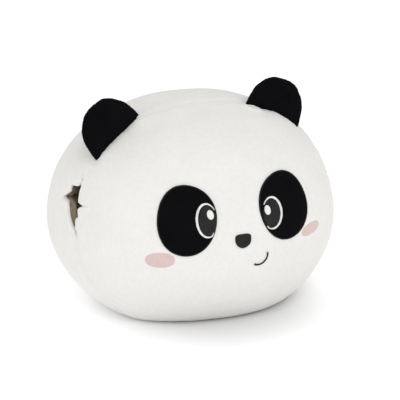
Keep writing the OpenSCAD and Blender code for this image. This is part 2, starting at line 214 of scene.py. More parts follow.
def opening_outline(side):
    """Angles and distances from the tunnel's axis of an opening's edge, with softened corners."""
    corners = np.array(OPENING_CORNERS[side], float)[:, None] * MM
    share = np.linspace(0, 1, 24, endpoint=False)[:, None]
    line = (corners * (1 - share) + np.roll(corners, -1, 0) * share).reshape(-1, 2)
    for _ in range(4):
        line = (np.roll(line, 1, 0) + 2 * line + np.roll(line, -1, 0)) / 4
    return np.arctan2(line[:, 0], line[:, 1]), np.linalg.norm(line, axis=1)


OPENING_OUTLINES = {side: opening_outline(side) for side in (-1, 1)}


def opening_radius(side, angle):
    return np.interp(angle, *OPENING_OUTLINES[side], period=2 * np.pi)


def crease_relief(front, up, crease):
    """A crease that is deepest where it starts and fades out, with a soft swell along both sides."""
    start, end, depth = np.array(crease[:2]) * MM, np.array(crease[2:4]) * MM, crease[4] * MM
    run = end - start
    along = np.clip(((front - start[0]) * run[0] + (up - start[1]) * run[1]) / (run @ run), 0, 1)
    off = np.hypot(front - start[0] - along * run[0], up - start[1] - along * run[1])
    width = (1.5 + 2.5 * along) * MM
    return (1 - along) * depth * (0.27 * bell(off - 2.4 * width, 1.5 * width) - bell(off, width))


def opening_relief(p):
    front, up = (p - TUNNEL) @ SEAM_FRONT, (p - TUNNEL) @ SEAM_UP
    radius, angle = np.hypot(front, up), np.arctan2(front, up)
    total = 0
    for side in (-1, 1):
        beyond = np.maximum(radius - opening_radius(side, angle), 0)
        dip = -0.8 * MM * bell(radius, 30 * MM) - 0.9 * MM * np.exp(-beyond / (2.2 * MM))
        for crease in OPENING_CREASES[side]:
            dip = dip + crease_relief(front, up, crease)
        total = total + np.where(p[..., 0] * side > 0.1, dip, 0)
    return total


def relief(p):
    return lumps(p) + seam_relief(p) + ear_relief(p) + opening_relief(p)


def soft_floor(p):
    """Presses the underside flat, with a soft roll where it leaves the surface it stands on."""
    roll = 4.5 * MM
    z = p[..., 2]
    pressed = (z + np.sqrt(z * z + roll * roll)) / 2 - 0.5 * MM
    p = p.copy()
    p[..., 2] = np.maximum(pressed, 0.1 * MM)
    return p


def raised(p, lift):
    """Points of the finished skin above the plain skin points p, moved out by lift."""
    return p + outward(p) * (relief(p) + lift)[..., None]


# ---- meshes ----


def grid_faces(rows, cols, wrap_rows=False, wrap_cols=False):
    """Quads of a grid of points laid out row after row."""
    r = np.arange(rows if wrap_rows else rows - 1)
    c = np.arange(cols if wrap_cols else cols - 1)
    r, c = np.meshgrid(r, c, indexing="ij")
    r2, c2 = (r + 1) % rows, (c + 1) % cols
    return np.stack([r * cols + c, r * cols + c2, r2 * cols + c2, r2 * cols + c], -1).reshape(-1, 4)


def add_mesh(name, points, faces, material, flip=False):
    """A smooth mesh object from points and faces."""
    mesh = bpy.data.meshes.new(name)
    faces = [list(map(int, f)) for f in faces]
    if flip:
        faces = [f[::-1] for f in faces]
    mesh.from_pydata(np.asarray(points, float).reshape(-1, 3).tolist(), [], faces)
    mesh.validate()
    mesh.polygons.foreach_set("use_smooth", [True] * len(mesh.polygons))
    mesh.materials.append(material)
    obj = bpy.data.objects.new(name, mesh)
    bpy.context.scene.collection.objects.link(obj)
    return obj


def add_grid(name, points, material, wrap_rows=False, wrap_cols=False, flip=False):
    rows, cols = points.shape[:2]
    return add_mesh(name, points, grid_faces(rows, cols, wrap_rows, wrap_cols), material, flip)


def add_disc(name, rings, material, flip=False):
    """A disc from rings of points, the first of which closes in one point."""
    centre = rings[0].mean(0)
    count, around = len(rings), len(rings[0])
    faces = [list(f) for f in grid_faces(count, around, wrap_cols=True) + 1]
    fan = [[0, 1 + (i + 1) % around, 1 + i] for i in range(around)]
    points = np.concatenate([centre[None], np.concatenate(rings)])
    return add_mesh(name, points, faces + fan, material, flip)


def tube(path, radius, sides=6, closed=False):
    """Rings of points round a path, for add_grid with wrap_cols."""
    path = np.asarray(path, float)
    if closed:
        along = unit(np.roll(path, -1, 0) - np.roll(path, 1, 0))
    else:
        along = unit(np.gradient(path, axis=0))
    side = unit(np.cross(along, outward(path)))
    top = np.cross(side, along)
    turn = np.linspace(0, 2 * np.pi, sides, endpoint=False)
    radius = np.broadcast_to(radius, len(path))[:, None, None]
    return path[:, None] + radius * (np.cos(turn)[None, :, None] * side[:, None]
                                     + np.sin(turn)[None, :, None] * top[:, None])


def settle(points, faces, held, pressure, slack, cap, frames=22):
    """Points of a stuffed cover after it settles under the push of its filling, moved at most by cap.

    held is each point's share of being held in place: 1 where it is sewn down.
    """
    mesh = bpy.data.meshes.new("settling")
    mesh.from_pydata(points.tolist(), [], [list(map(int, f)) for f in faces])
    cover = bpy.data.objects.new("settling", mesh)
    bpy.context.scene.collection.objects.link(cover)
    group = cover.vertex_groups.new(name="sewn")
    for weight in np.unique(held[held > 0]):
        group.add(np.flatnonzero(held == weight).tolist(), float(weight), "REPLACE")
    cloth = cover.modifiers.new("Cloth", "CLOTH")
    settings = cloth.settings
    settings.quality = 6
    settings.mass = 0.0002
    settings.tension_stiffness = settings.compression_stiffness = 8
    settings.shear_stiffness = 3
    settings.bending_stiffness = 0.02
    settings.air_damping = 4
    settings.shrink_min = -slack
    settings.use_pressure = True
    settings.uniform_pressure_force = pressure
    settings.vertex_group_mass = "sewn"
    settings.effector_weights.gravity = 0
    scene = bpy.context.scene
    scene.frame_start, scene.frame_end = 1, frames
    cloth.point_cache.frame_start, cloth.point_cache.frame_end = 1, frames
    for frame_number in range(1, frames + 1):
        scene.frame_set(frame_number)
    settled = cover.evaluated_get(bpy.context.evaluated_depsgraph_get())
    after = np.empty(len(points) * 3)
    settled.data.vertices.foreach_get("co", after)
    scene.frame_set(1)
    bpy.data.objects.remove(cover, do_unlink=True)
    moved = after.reshape(-1, 3) - points
    length = np.linalg.norm(moved, axis=1, keepdims=True)
    moved = np.where(np.isfinite(moved), moved, 0) * cap * np.tanh(length / cap) / np.maximum(length, 1e-9)
    return points + np.nan_to_num(moved)


def sewn(obj, body, slot, *nodes):
    """obj rides on a body and stands for CAD nodes. slot is not used."""
    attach(obj, body)
    if nodes:
        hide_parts(*nodes)
    return obj


# ---- materials ----


def new_material(name, color, roughness, sheen=0.0, sheen_roughness=0.5, specular=0.3):
    """A fabric material with its shader's own sockets set. Returns it with its shader and its tree."""
    material = bpy.data.materials.new(name)
    material.use_nodes = True
    tree = material.node_tree
    shader = tree.nodes["Principled BSDF"]
    shader.inputs["Base Color"].default_value = (*color, 1)
    shader.inputs["Roughness"].default_value = roughness
    shader.inputs["Sheen Weight"].default_value = sheen
    shader.inputs["Sheen Roughness"].default_value = sheen_roughness
    shader.inputs["Specular IOR Level"].default_value = specular
    return material, shader, tree


def noise(tree, scale, detail=2.0, stretch=(1, 1, 1), distortion=0.0):
    """A noise texture in object space; its features are about 1 / scale metres across."""
    coordinates = tree.nodes.new("ShaderNodeTexCoord")
    mapping = tree.nodes.new("ShaderNodeMapping")
    mapping.inputs["Scale"].default_value = stretch
    texture = tree.nodes.new("ShaderNodeTexNoise")
    texture.inputs["Scale"].default_value = scale
    texture.inputs["Detail"].default_value = detail
    texture.inputs["Distortion"].default_value = distortion
    tree.links.new(coordinates.outputs["Object"], mapping.inputs["Vector"])
    tree.links.new(mapping.outputs["Vector"], texture.inputs["Vector"])
    return texture.outputs["Fac"]


def ramp(tree, factor, stops):
    """Colours at positions along a factor."""
    node = tree.nodes.new("ShaderNodeValToRGB")
    elements = node.color_ramp.elements
    while len(elements) < len(stops):
        elements.new(0.5)
    for element, (position, color) in zip(elements, stops):
        element.position = position
        element.color = (*color, 1)
    tree.links.new(factor, node.inputs["Fac"])
    return node.outputs["Color"]


def mix(tree, kind, amount, first, second):
    """Mixes two colours; amount is a number or a socket."""
    node = tree.nodes.new("ShaderNodeMix")
    node.data_type = "RGBA"
    node.blend_type = kind
    if isinstance(amount, float):
        node.inputs["Factor"].default_value = amount
    else:
        tree.links.new(amount, node.inputs["Factor"])
    tree.links.new(first, node.inputs["A"])
    tree.links.new(second, node.inputs["B"])
    return node.outputs["Result"]


def bump(tree, shader, heights):
    """Stacks bumps on the shader: (height socket, strength, distance) from the coarsest to the finest."""
    normal = None
    for height, strength, distance in heights:
        node = tree.nodes.new("ShaderNodeBump")
        node.inputs["Strength"].default_value = strength
        node.inputs["Distance"].default_value = distance
        tree.links.new(height, node.inputs["Height"])
        if normal is not None:
            tree.links.new(normal, node.inputs["Normal"])
        normal = node.outputs["Normal"]
    tree.links.new(normal, shader.inputs["Normal"])


def pile(name, dark, light, roughness, sheen, depth, strength, specular=0.2, painted_shade_span=None):
    """Short plush pile: clumps a few millimetres wide made of fibre tips well under a millimetre.

    depth and strength are the bump's. The last argument, if given, is two distances to the side of the object's
    middle:
    painted shade makes the pile darkest at the first, and leaves it its own colour from the second outwards.
    """
    material, shader, tree = new_material(name, light, roughness, sheen, 0.45, specular)
    broad = noise(tree, 22, 3)
    clumps = noise(tree, 240, 3, (1, 1, 0.6), 0.4)
    tips = noise(tree, 1300, 2, (1, 1, 0.7))
    shade = ramp(tree, broad, [(0.3, dark), (0.7, light)])
    # painted shade: the pile grows darker the further it lies inside the tunnel, towards the object's middle
    if painted_shade_span is not None:
        place = tree.nodes.new("ShaderNodeTexCoord")
        parts = tree.nodes.new("ShaderNodeSeparateXYZ")
        size = tree.nodes.new("ShaderNodeMath")
        size.operation = "ABSOLUTE"
        tree.links.new(place.outputs["Object"], parts.inputs["Vector"])
        tree.links.new(parts.outputs["X"], size.inputs[0])
        span = tree.nodes.new("ShaderNodeMapRange")
        span.inputs["From Min"].default_value, span.inputs["From Max"].default_value = painted_shade_span
        tree.links.new(size.outputs["Value"], span.inputs["Value"])
        fade = ramp(tree, span.outputs["Result"], [(0, (0.36, 0.32, 0.26)), (1, (1, 1, 1))])
        shade = mix(tree, "MULTIPLY", 1.0, shade, fade)
    # painted shade: the pile darkens slightly in the hollows between the fibre tips and between the clumps that
    # the bump raises
    painted_gap_shade = ramp(tree, tips, [(0.25, (0.93, 0.93, 0.93)), (0.6, (1, 1, 1))])
    painted_clump_shade = ramp(tree, clumps, [(0.3, (0.965, 0.965, 0.965)), (0.65, (1, 1, 1))])
    color = mix(tree, "MULTIPLY", 1.0, shade, mix(tree, "MULTIPLY", 1.0, painted_gap_shade, painted_clump_shade))
    tree.links.new(color, shader.inputs["Base Color"])
    bump(tree, shader, [(clumps, strength * 0.6, depth * 2), (tips, strength, depth)])
    return material


def thread(name, dark, light, roughness=0.45, sheen=0.1, specular=0.4):
    """Embroidery thread: fine twisted fibres with a slight lustre."""
    material, shader, tree = new_material(name, light, roughness, sheen, 0.4, specular)
    fibres = noise(tree, 2600, 2, (1, 1, 0.35))
    patches = noise(tree, 130, 2)
    # painted shade: the thread darkens in the hollows between the fibres that the bump raises
    color = mix(tree, "MULTIPLY", 1.0, ramp(tree, patches, [(0.3, dark), (0.7, light)]),
                ramp(tree, fibres, [(0.3, (0.8, 0.8, 0.8)), (0.6, (1, 1, 1))]))
    tree.links.new(color, shader.inputs["Base Color"])
    bump(tree, shader, [(fibres, 0.3, 0.1 * MM)])
    return material


white_pile = pile("white_plush", (0.815, 0.802, 0.775), (0.84, 0.83, 0.803), 0.9, 0.2, 0.3 * MM, 0.17)
black_pile = pile("black_velour", (0.003, 0.003, 0.0038), (0.0045, 0.0045, 0.0056), 0.95, 0.006, 0.2 * MM, 0.25,
                  0.04)
pink_pile = pile("pink_plush", (0.67, 0.512, 0.492), (0.71, 0.555, 0.535), 0.9, 0.15, 0.3 * MM, 0.22)
# the lining carries painted shade that deepens from 160.5 mm to 152 mm from the object's middle, inside the
# tunnel
fleece = pile("beige_fleece", (0.27, 0.22, 0.155), (0.37, 0.31, 0.235), 0.95, 0.15, 0.5 * MM, 0.5, 0.1,
              (0.152, 0.1605))
grey_thread = thread("charcoal_thread", (0.014, 0.0145, 0.0135), (0.021, 0.022, 0.0205), 0.5, 0.02, 0.15)
black_thread = thread("black_thread", (0.006, 0.006, 0.006), (0.011, 0.011, 0.011), 0.5, 0.02, 0.15)
white_thread = thread("white_thread", (0.8, 0.8, 0.78), (0.9, 0.9, 0.88))
label_tape = thread("label_tape", (0.78, 0.78, 0.77), (0.86, 0.86, 0.85), 0.4)
elastic_cord = thread("elastic_cord", (0.6, 0.58, 0.54), (0.7, 0.68, 0.64), 0.6)

# ---- body panels ----

PANEL_ROWS, PANEL_COLS = 230, 300
OPENING_BLEND = 0.25
# The lip of an opening, which rolls the fabric in: millimetres into the tunnel, and out from the edge
LIP = [(0.4, -0.15), (0.9, -0.2), (1.5, -0.15), (2.3, 0.1), (3.4, 0.5)]


def panel_angles(front):
    """Angles of a panel's rows, closer together at the seam and wherever an opening's edge turns sharply."""
    fine = np.linspace(0, np.pi, 2000)
    density = 1 + 4 * bell(fine, 0.09) + 4 * bell(fine - np.pi, 0.09)
    for side in (-1, 1):
        radius = opening_radius(side, front * fine)
        density += 1.6 * np.minimum(np.abs(np.gradient(radius, fine)) / radius, 4)
    total = np.concatenate([[0], np.cumsum((density[1:] + density[:-1]) / 2)])
    return front * np.interp(np.linspace(0, total[-1], PANEL_ROWS), total, fine)


def skin_grid(angle, share):
    """Plain skin points; angle turns round the tunnel from the crown and share runs from the right opening."""
    polar = np.pi * share[None, :] + 0 * angle[:, None]
    for side, away in ((-1, share), (1, 1 - share)):
        fade = np.clip(1 - away / OPENING_BLEND, 0, 1) ** 3
        edge = np.arcsin(opening_radius(side, angle) / MOUTH_REACH)
        polar = polar - side * edge[:, None] * fade[None, :]
    outwards = np.cos(angle)[:, None] * SEAM_UP + np.sin(angle)[:, None] * SEAM_FRONT
    return cast(TUNNEL, -np.cos(polar)[..., None] * ACROSS + np.sin(polar)[..., None] * outwards[:, None])


def lip_rings(edge, side, steps):
    """Rings that follow an opening's edge into the tunnel, at steps like the lip's."""
    away = edge - TUNNEL
    away[:, 0] = 0
    away = unit(away)
    return [edge - [side * depth * MM, 0, 0] + away * out * MM for depth, out in steps]


def spread(coarse, rows, count):
    """Fills in the rows between those a coarse grid has."""
    at = np.interp(np.arange(count), rows, np.arange(len(rows)))
    below = np.minimum(at.astype(int), len(rows) - 2)
    share = (at - below)[:, None, None]
    return coarse[below] * (1 - share) + coarse[below + 1] * share


def settle_panel(skin, front):
    """Lets a panel settle between the seam and the openings, hardly at all where the face is embroidered.

    The simulation runs on every other row and column.
    """
    rows, cols = (np.unique(np.append(np.arange(0, n, 2), n - 1)) for n in skin.shape[:2])
    coarse = skin[rows][:, cols]
    held = np.full(coarse.shape[:2], 0.1)
    held[[0, 1, -2, -1]] = held[:, [0, 1, -2, -1]] = 1
    faces = grid_faces(*coarse.shape[:2])[:, ::-front]
    settled = settle(coarse.reshape(-1, 3), faces, held.ravel(),
                     pressure=0.6, slack=0.006, cap=1.2 * MM, frames=14)
    moved = settled.reshape(coarse.shape) - coarse
    # thick pile keeps only the broader wrinkles
    for _ in range(10):
        moved[1:-1] = (moved[:-2] + 2 * moved[1:-1] + moved[2:]) / 4
        moved[:, 1:-1] = (moved[:, :-2] + 2 * moved[:, 1:-1] + moved[:, 2:]) / 4
    moved = spread(moved, rows, skin.shape[0])
    moved = spread(moved.swapaxes(0, 1), cols, skin.shape[1]).swapaxes(0, 1)
    from_face = np.hypot(skin[..., 0] / (118 * MM), (skin[..., 2] - 122 * MM) / (66 * MM))
    on_face_side = skin[..., 1] < -60 * MM
    free = np.where(on_face_side, np.clip((from_face - 1) * 3, 0.12, 1), 1)
    return skin + moved * free[..., None]


def build_panel(name, front):
    """One of the two plush panels, from opening to opening, with its lips and its seam allowance."""
    angle = panel_angles(front)
    base = skin_grid(angle, np.linspace(0, 1, PANEL_COLS))
    skin = settle_panel(soft_floor(raised(base, np.zeros(base.shape[:2]))), front)
    right = lip_rings(skin[:, 0], -1, LIP)
    left = lip_rings(skin[:, -1], 1, LIP)
    skin = np.concatenate([np.stack(right[::-1], 1), skin, np.stack(left, 1)], 1)
    # seam allowance: the cut edges turn into the body
    turned = []
    for depth in (0.8, 2.2, 4.5):
        into = -outward(skin[[0, -1]]) * depth * MM + front * SEAM_FRONT * 0.1 * MM
        turned.append(skin[[0, -1]] + into)
    skin = np.concatenate([[t[0] for t in turned[::-1]], skin, [t[1] for t in turned]], 0)
    skin[..., 2] = np.maximum(skin[..., 2], 0.1 * MM)
    return add_grid(name, skin, white_pile, flip=front > 0)


front_skin, back_skin = build_panel("plush_front", 1), build_panel("plush_back", -1)
for obj, nodes in ((front_skin, ["front_panel", "filling"]), (back_skin, ["back_panel"])):
    sewn(obj, "cushion", "white_pile", *nodes)

# ---- hand tunnel ----

round_angles = np.concatenate([panel_angles(-1)[::-1][:-1:2], panel_angles(1)[:-1:2]])


def opening_edge(side):
    """Points of the finished edge of an opening, all the way round."""
    share = np.array([0.0 if side < 0 else 1.0])
    base = skin_grid(round_angles, share)[:, 0]
    return raised(base, np.zeros(len(base)))


# The hem's fold, in the same terms as the lip
HEM = [(1.3, -0.1), (1.7, -0.3), (2.3, -0.3), (3, 0), (4, 0.6), (5.5, 1.4)]
for side, word in ((-1, "right"), (1, "left")):
    edge = opening_edge(side)
    hem = np.stack(lip_rings(edge, side, HEM), 1)
    hem += bell(np.arange(len(HEM)) - 2.5, 1.5)[None, :, None] * 0.15 * MM * np.sin(
        round_angles * 46)[:, None, None] * ACROSS
    hem_band = add_grid("cuff_hem_" + word + "_fold", hem, white_pile, wrap_rows=True, flip=side > 0)
    solid = hem_band.modifiers.new("Thickness", "SOLIDIFY")
    solid.thickness = 0.7 * MM
    solid.offset = 0
    sewn(hem_band, "cushion", "white_pile", "cuff_hem_" + word)
    cord = lip_rings(edge, side, [(4.5, 2.4)])[0]
    elastic = add_grid("cuff_elastic_" + word + "_cord", tube(cord, 0.8 * MM, 6, True), elastic_cord,
                       wrap_rows=True, wrap_cols=True)
    sewn(elastic, "cushion", "elastic", "cuff_elastic_" + word)


# Half the lining's length, its radius where it hangs loose, and how far in the star shape of its ends reaches
LINING_HALF, LINING_RADIUS, STAR_DEPTH = 155 * MM, 22.5 * MM, 45 * MM
LINING_STEPS = 120


def build_liner():
    """The fleece tube: star-shaped like each opening at its ends, and looser and rounder inside."""
    share = (1 - np.cos(np.linspace(0, np.pi, LINING_STEPS))) / 2
    points = np.zeros((LINING_STEPS, len(round_angles), 3))
    for side in (-1, 1):
        end = lip_rings(opening_edge(side), side, [(2.3, -0.35)])[0]
        inward = 2 * LINING_HALF * (share if side < 0 else 1 - share)
        for k in np.flatnonzero(inward <= LINING_HALF):
            depth = inward[k]
            star = bell(depth, STAR_DEPTH)
            folds = 1.8 * MM * np.sin(5 * round_angles + 1.3 + 14 * depth) + 1.2 * MM * np.sin(
                8 * round_angles - 0.6 - 20 * depth)
            radius = LINING_RADIUS + folds * (1 - 0.5 * star) - 2.5 * MM * (1 - star)
            # a roll of lining along the back edge of the opening
            roll = 6 * MM * bell(depth - 7 * MM, 2 * MM) - 2 * MM * bell(depth - 3.6 * MM, 1.4 * MM)
            roll = roll * bell(turn_between(round_angles, -2.1), 0.75)
            ring = TUNNEL + radius[:, None] * (np.cos(round_angles)[:, None] * SEAM_UP
                                               + np.sin(round_angles)[:, None] * SEAM_FRONT)
            ring[:, 0] = 0
            flat_end = end.copy()
            flat_end[:, 0] = 0
            ring = ring * (1 - star) + flat_end * star
            ring = ring - unit(ring - TUNNEL) * roll[:, None]
            ring[:, 0] = end[:, 0] * (1 - depth / LINING_HALF)
            points[k] = ring
    return add_grid("hand_tunnel_lining", points, fleece, wrap_cols=True)


liner = build_liner()
sewn(liner, "cushion", "fleece_lining", "hand_tunnel_liner")

# ---- ears ----

EAR_HEIGHT = {-1: 46.3 * MM, 1: 43.8 * MM}
# Half the thickness of a stuffed ear
EAR_HALF = 10 * MM
# How square the outline's inner and outer shoulders are
EAR_POWERS = (2.5, 2.15)
# Outward lean of the outline, as a share of its height
EAR_LEAN_OUT = {-1: 0.03, 1: 0.02}
# Points along the outline's arch and along its sewn edge
EAR_AROUND, EAR_BASE = 84, 36
# The skin is drawn up and back at the inner corner of the right ear
EAR_DRAWN_UP = {-1: 4.5 * MM * SEAM_UP - 5 * MM * SEAM_FRONT, 1: 0 * SEAM_UP}


def ear_frame(side):
    """Inner corner, outer corner, and the unit vectors along the sewn edge and up the ear."""
    outer, inner = cast(CORE, seam_direction(EAR_ANGLES[side])) * [side, 1, 1]
    inner = inner + EAR_DRAWN_UP[side]
    along = unit(outer - inner)
    up = unit(np.cross(along, SEAM_FRONT)) * side
    if up[2] < 0:
        up = -up
    return inner, outer, along, up


def ear_outline(side):
    """An ear's outline, from its outer corner over the top and back along the seam, and its centre."""
    inner, outer, along, up = ear_frame(side)
    middle, half = (inner + outer) / 2, np.linalg.norm(outer - inner) / 2
    turn = np.linspace(0, np.pi, EAR_AROUND)
    power = np.where(np.cos(turn) < 0, *EAR_POWERS)
    along_share = squared(np.cos(turn), power)
    up_share = np.abs(np.sin(turn)) ** (2 / power)
    # the sewn rim is never an even curve
    uneven = 1 + 0.006 * np.sin(5 * turn + side) + 0.006 * np.sin(9 * turn + 2) + 0.003 * np.sin(17 * turn)
    arch = middle + (uneven * half * along_share)[:, None] * along
    arch = arch + EAR_HEIGHT[side] * (uneven * up_share)[:, None] * (up + EAR_LEAN_OUT[side] * along)
    angles = np.linspace(EAR_ANGLES[side][1], EAR_ANGLES[side][0], EAR_BASE + 2)[1:-1]
    base = cast(CORE, seam_direction(angles)) * [side, 1, 1]
    outward_share = np.linspace(0, 1, EAR_BASE + 2)[1:-1, None]
    base = base + (1 - outward_share) ** 2 * EAR_DRAWN_UP[side]
    base = base - (3.5 + 1.5 * np.sin(np.pi * outward_share)) * MM * up
    arch = arch - 2.5 * MM * (1 - up_share[:, None]) * up
    return np.concatenate([arch, base]), middle + 0.42 * EAR_HEIGHT[side] * up


def ear_rings(side, front, outline, centre):
    """Rings of points of one cover before it is stuffed, from near its centre to its sewn rim."""
    _, _, along, up = ear_frame(side)
    ripple = np.zeros(len(outline))
    for count in (17, 23, 31):
        ripple += np.sin(count * np.linspace(0, 2 * np.pi, len(outline)) + rng.uniform(0, 6))
    rings = []
    for share in 1 - (1 - np.linspace(0.04, 1, 30)) ** 1.6:
        swell = 0.5 * MM + (EAR_HALF - 0.5 * MM) * (1 - share**2.3) ** 0.62
        ring = centre + share * (outline - centre)
        uneven = 0.35 * MM * np.sin(ring @ (along * 190 + up * 120)) * (1 - share**4)
        pucker = 0.22 * MM * ripple * share**6 * (1 - share**12)
        rings.append(ring + front * (swell + uneven + pucker)[:, None] * SEAM_FRONT)
    return np.array(rings)


def build_ear(side):
    """Stuffs both covers of an ear as one skin, then parts them at the sewn rim."""
    body = "ear_right" if side < 0 else "ear_left"
    outline, centre = ear_outline(side)
    covers = {front: ear_rings(side, front, outline, centre) for front in (1, -1)}
    count, around = len(covers[1]), len(outline)
    # both covers as one skin, closed by a fan at each end
    rings = np.concatenate([covers[1], covers[-1][::-1]]).reshape(-1, 3)
    points = np.concatenate([rings, covers[1][0].mean(0)[None], covers[-1][0].mean(0)[None]])
    faces = [list(f) for f in grid_faces(2 * count, around, wrap_cols=True)]
    last, first_back = len(rings), (2 * count - 1) * around
    faces += [[last, (i + 1) % around, i] for i in range(around)]
    faces += [[last + 1, first_back + i, first_back + (i + 1) % around] for i in range(around)]
    if side < 0:
        faces = [f[::-1] for f in faces]
    held = np.zeros((2 * count, around))
    held[count - 2:count + 2] = 0.6
    held[:, EAR_AROUND:] = np.maximum(held[:, EAR_AROUND:], 0.25)
    held[count - 4:count + 4, EAR_AROUND:] = 1
    held = np.append(held, [0, 0])
    points = settle(points, faces, held, pressure=0.9, slack=0.035, cap=2.2 * MM)
    rings = points[:last].reshape(2 * count, around, 3)
    # the covers' edges turn in at the rim, and the fold of the ear spreads over its lowest part
    for front, word, part in ((1, "front", rings[:count]), (-1, "back", rings[count:][::-1])):
        turned = part[-1] + (centre - part[-1]) * 0.015 - front * 0.4 * MM * SEAM_FRONT
        obj = add_disc(f"{body}_{word}_velour", list(part) + [turned], black_pile, flip=side * front > 0)
        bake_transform(obj)
        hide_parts(*([f"{body}_{word}"] + ([f"{body}_filling"] if front > 0 else [])))


build_ear(-1)
build_ear(1)

# ---- face ----


def centre_of(node):
    low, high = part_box(node)
    return (low.x + high.x) / 2, (low.z + high.z) / 2


def oval(half, lean=0.0, power=2.0, top_share=0.0, count=240):
    """Outline of an oval round 0, 0: x across and z up."""
    turn = np.linspace(0, 2 * np.pi, count, endpoint=False)
    x = half[0] * squared(np.cos(turn), power) * (1 + top_share * np.sin(turn))
    z = half[1] * squared(np.sin(turn), power)
    return np.stack([x * math.cos(lean) - z * math.sin(lean), x * math.sin(lean) + z * math.cos(lean)], -1)


def on_face(flat, lift):
    """Points of the finished face at flat = [..., (x, z)], moved out by lift."""
    base = face_point(flat[..., 0], flat[..., 1])
    return raised(base, np.broadcast_to(lift, base.shape[:-1]))


def face_disc(name, middle, outline, high, material, edge_power=14, flip=False):
    """A thin padded piece on the face whose edge turns down into the pile."""
    shares = 1 - (1 - np.linspace(0.03, 1, 34)) ** 1.7
    rings = []
    for share in shares:
        lift = high * (1 - share**edge_power) ** 0.5 - 0.3 * MM * share**edge_power
        rings.append(on_face(np.array(middle) + share * outline, lift))
    return add_disc(name, rings, material, flip)


def satin_band(name, flat, width, low, high, material, pitch=0.55 * MM, closed=False):
    """Satin stitches laid side by side across a line on the face; width may change along it."""
    flat = np.asarray(flat, float)
    if closed:
        flat = np.concatenate([flat, flat[:1]])
    steps = np.concatenate([[0], np.cumsum(np.linalg.norm(np.diff(flat, axis=0), axis=1))])
    count = int(steps[-1] / pitch * 4)
    at = np.linspace(0, steps[-1], count, endpoint=not closed)
    line = np.stack([np.interp(at, steps, flat[:, k]) for k in (0, 1)], -1)
    wide = np.interp(at, steps, np.broadcast_to(width, len(flat)))
    along = unit(np.gradient(line, axis=0))
    if closed:
        along[0] = along[-1] = unit(along[0] + along[-1])
    across = np.stack([-along[:, 1], along[:, 0]], -1)
    stitch = at / pitch
    jitter = 0.06 * np.sin(12.9898 * np.floor(stitch))
    ridge = np.abs(np.sin(np.pi * stitch)) ** 0.6
    rows = []
    for share in (-1, -0.92, -0.6, -0.2, 0.2, 0.6, 0.92, 1):
        crown = math.sqrt(max(0.0, 1 - share**4))
        place = line + across * (share * wide / 2 * (1 + jitter * abs(share)))[:, None]
        lift = low + (high - low) * crown * (0.72 + 0.28 * ridge)
        rows.append(on_face(place, np.where(abs(share) == 1, low - 0.3 * MM, lift)))
    return add_grid(name, np.stack(rows), material, wrap_cols=closed, flip=True)


def satin_fill(name, middle, outline, lean, low, high, material, pitch=0.6 * MM):
    """Parallel satin stitches that fill an outline; lean is the direction of the thread."""
    along = np.array([math.cos(lean), math.sin(lean)])
    across = np.array([-along[1], along[0]])
    s, t = outline @ across, outline @ along
    s_next, t_next = np.roll(s, -1), np.roll(t, -1)
    count = int((s.max() - s.min()) / pitch * 4)
    lines = np.linspace(s.min() + 0.02 * MM, s.max() - 0.02 * MM, count)
    ends = []
    for line in lines:
        crossing = (s - line) * (s_next - line) <= 0
        crossing &= np.abs(s_next - s) > 1e-12
        share = (line - s[crossing]) / (s_next[crossing] - s[crossing])
        hit = t[crossing] + share * (t_next[crossing] - t[crossing])
        ends.append((hit.min(), hit.max()))
    ends = np.array(ends)
    stitch = (lines - lines[0]) / pitch
    ridge = np.abs(np.sin(np.pi * stitch)) ** 0.6
    jitter = 0.16 * MM * np.sin(78.233 * np.floor(stitch))
    rim = np.clip(1 - np.abs(np.linspace(-1, 1, count)) ** 12, 0, 1) ** 0.5
    columns = []
    for share in (-1, -0.99, -0.93, -0.8, -0.55, -0.25, 0, 0.25, 0.55, 0.8, 0.93, 0.99, 1):
        half = (ends[:, 1] - ends[:, 0]) / 2 + jitter
        place = (ends.mean(1) + share * half)[:, None] * along + lines[:, None] * across
        crown = (1 - abs(share) ** 16) ** 0.5 * rim
        lift = low + (high - low) * crown * (0.75 + 0.25 * ridge)
        lift = np.where(abs(share) == 1, low - 0.3 * MM, lift)
        columns.append(on_face(np.array(middle) + place, lift))
    return add_grid(name, np.stack(columns), material, flip=True)


# By side: half sizes, leans and places on the face, across and up
PATCH_HALF = {-1: (31.9 * MM, 38.9 * MM), 1: (32.4 * MM, 37.8 * MM)}
PATCH_LEAN = {-1: math.radians(14), 1: math.radians(19)}
IRIS_HALF = {-1: (10.5 * MM, 16.8 * MM), 1: (11.2 * MM, 15.7 * MM)}
IRIS_PLACE = {-1: (-39 * MM, 138 * MM), 1: (38.5 * MM, 137.2 * MM)}
GLINT_HALF = (3.8 * MM, 5.3 * MM)
GLINT_PLACE = {-1: (-35.6 * MM, 144.5 * MM), 1: (33 * MM, 141.7 * MM)}
# Height of a patch above the pile
PATCH_HIGH = 1.6 * MM


def patch_outline(side, shrink=0.0):
    """Outline of an eye patch round its own middle."""
    half = (PATCH_HALF[side][0] - shrink, PATCH_HALF[side][1] - shrink)
    return oval(half, side * PATCH_LEAN[side], 2.12, 0.035)


def inside_patch(side, flat, margin):
    """Pulls points that lie outside the patch back to its outline."""
    middle = np.array(centre_of("eye_patch_right" if side < 0 else "eye_patch_left"))
    outline = patch_outline(side, margin)
    limit_angle = np.arctan2(outline[:, 1], outline[:, 0])
    order = np.argsort(limit_angle)
    limit = np.linalg.norm(outline, axis=1)
    away = flat - middle
    angle, distance = np.arctan2(away[..., 1], away[..., 0]), np.linalg.norm(away, axis=-1)
    most = np.interp(angle, limit_angle[order], limit[order], period=2 * np.pi)
    return middle + away * np.minimum(1, most / np.maximum(distance, 1e-9))[..., None]


